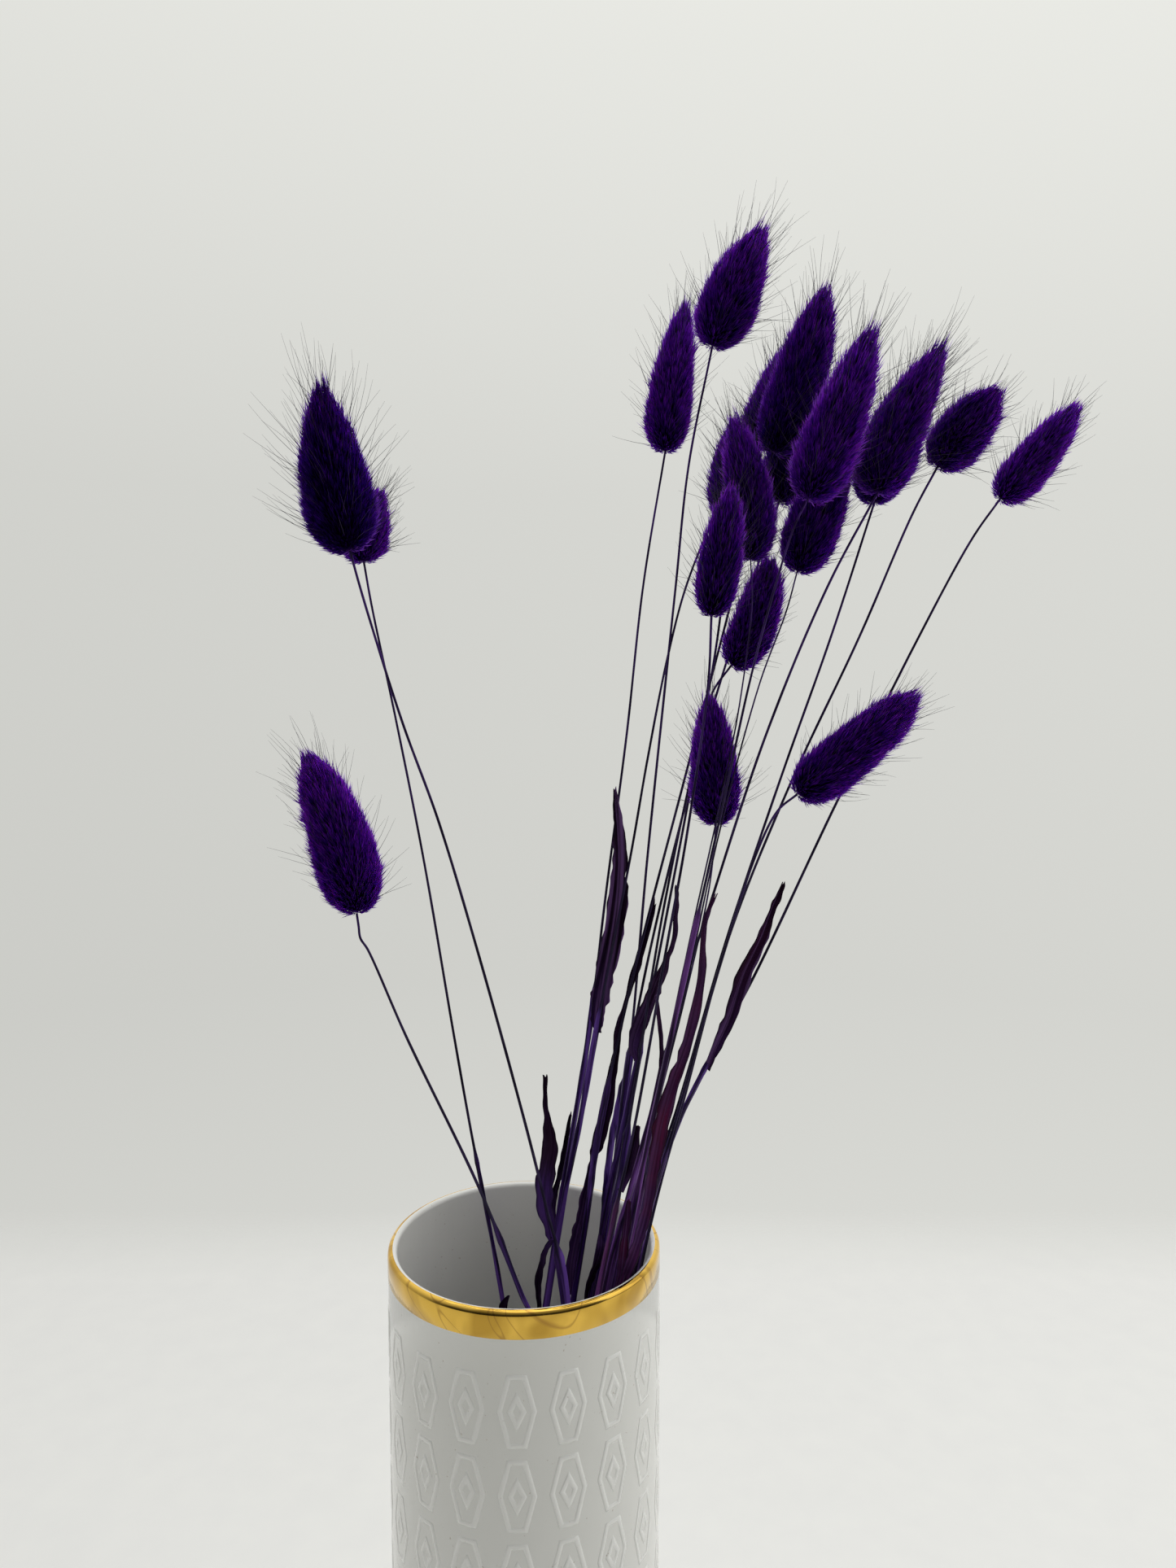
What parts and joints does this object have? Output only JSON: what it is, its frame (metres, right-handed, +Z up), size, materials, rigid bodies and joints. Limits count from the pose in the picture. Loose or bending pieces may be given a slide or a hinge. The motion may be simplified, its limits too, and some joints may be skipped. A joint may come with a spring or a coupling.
{
  "type": "dried bunny tail grass in a vase",
  "caption": "Dried, dyed bunny tail grass with soft oval seed heads on thin stems and a few dry leaves, standing in a tall cylindrical porcelain vase with a gilt rim.",
  "frame": {"origin": "centre of the vase's flat foot", "axes": "+Z up the vase's axis; +X to the right and +Y away from the viewer in the picture's view"},
  "size_m": [0.2076, 0.0881, 0.4703],
  "materials": {
    "porcelain": "gloss",
    "stem": "satin",
    "head": "matte"
  },
  "bodies": {
    "root": {"vase": "porcelain", "stem_01": "stem", "stem_02": "stem", "stem_03": "stem", "stem_04": "stem", "stem_05": "stem", "stem_06": "stem", "stem_07": "stem", "stem_08": "stem", "stem_09": "stem", "stem_10": "stem", "stem_11": "stem", "stem_12": "stem", "stem_13": "stem", "stem_14": "stem", "stem_15": "stem", "stem_16": "stem", "stem_17": "stem", "stem_18": "stem", "stem_19": "stem", "stem_20": "stem", "head_01": "head", "head_02": "head", "head_03": "head", "head_04": "head", "head_05": "head", "head_06": "head", "head_07": "head", "head_08": "head", "head_09": "head", "head_10": "head", "head_11": "head", "head_12": "head", "head_13": "head", "head_14": "head", "head_15": "head", "head_16": "head", "head_17": "head", "head_18": "head", "head_19": "head", "head_20": "head"}
  },
  "joints": []
}
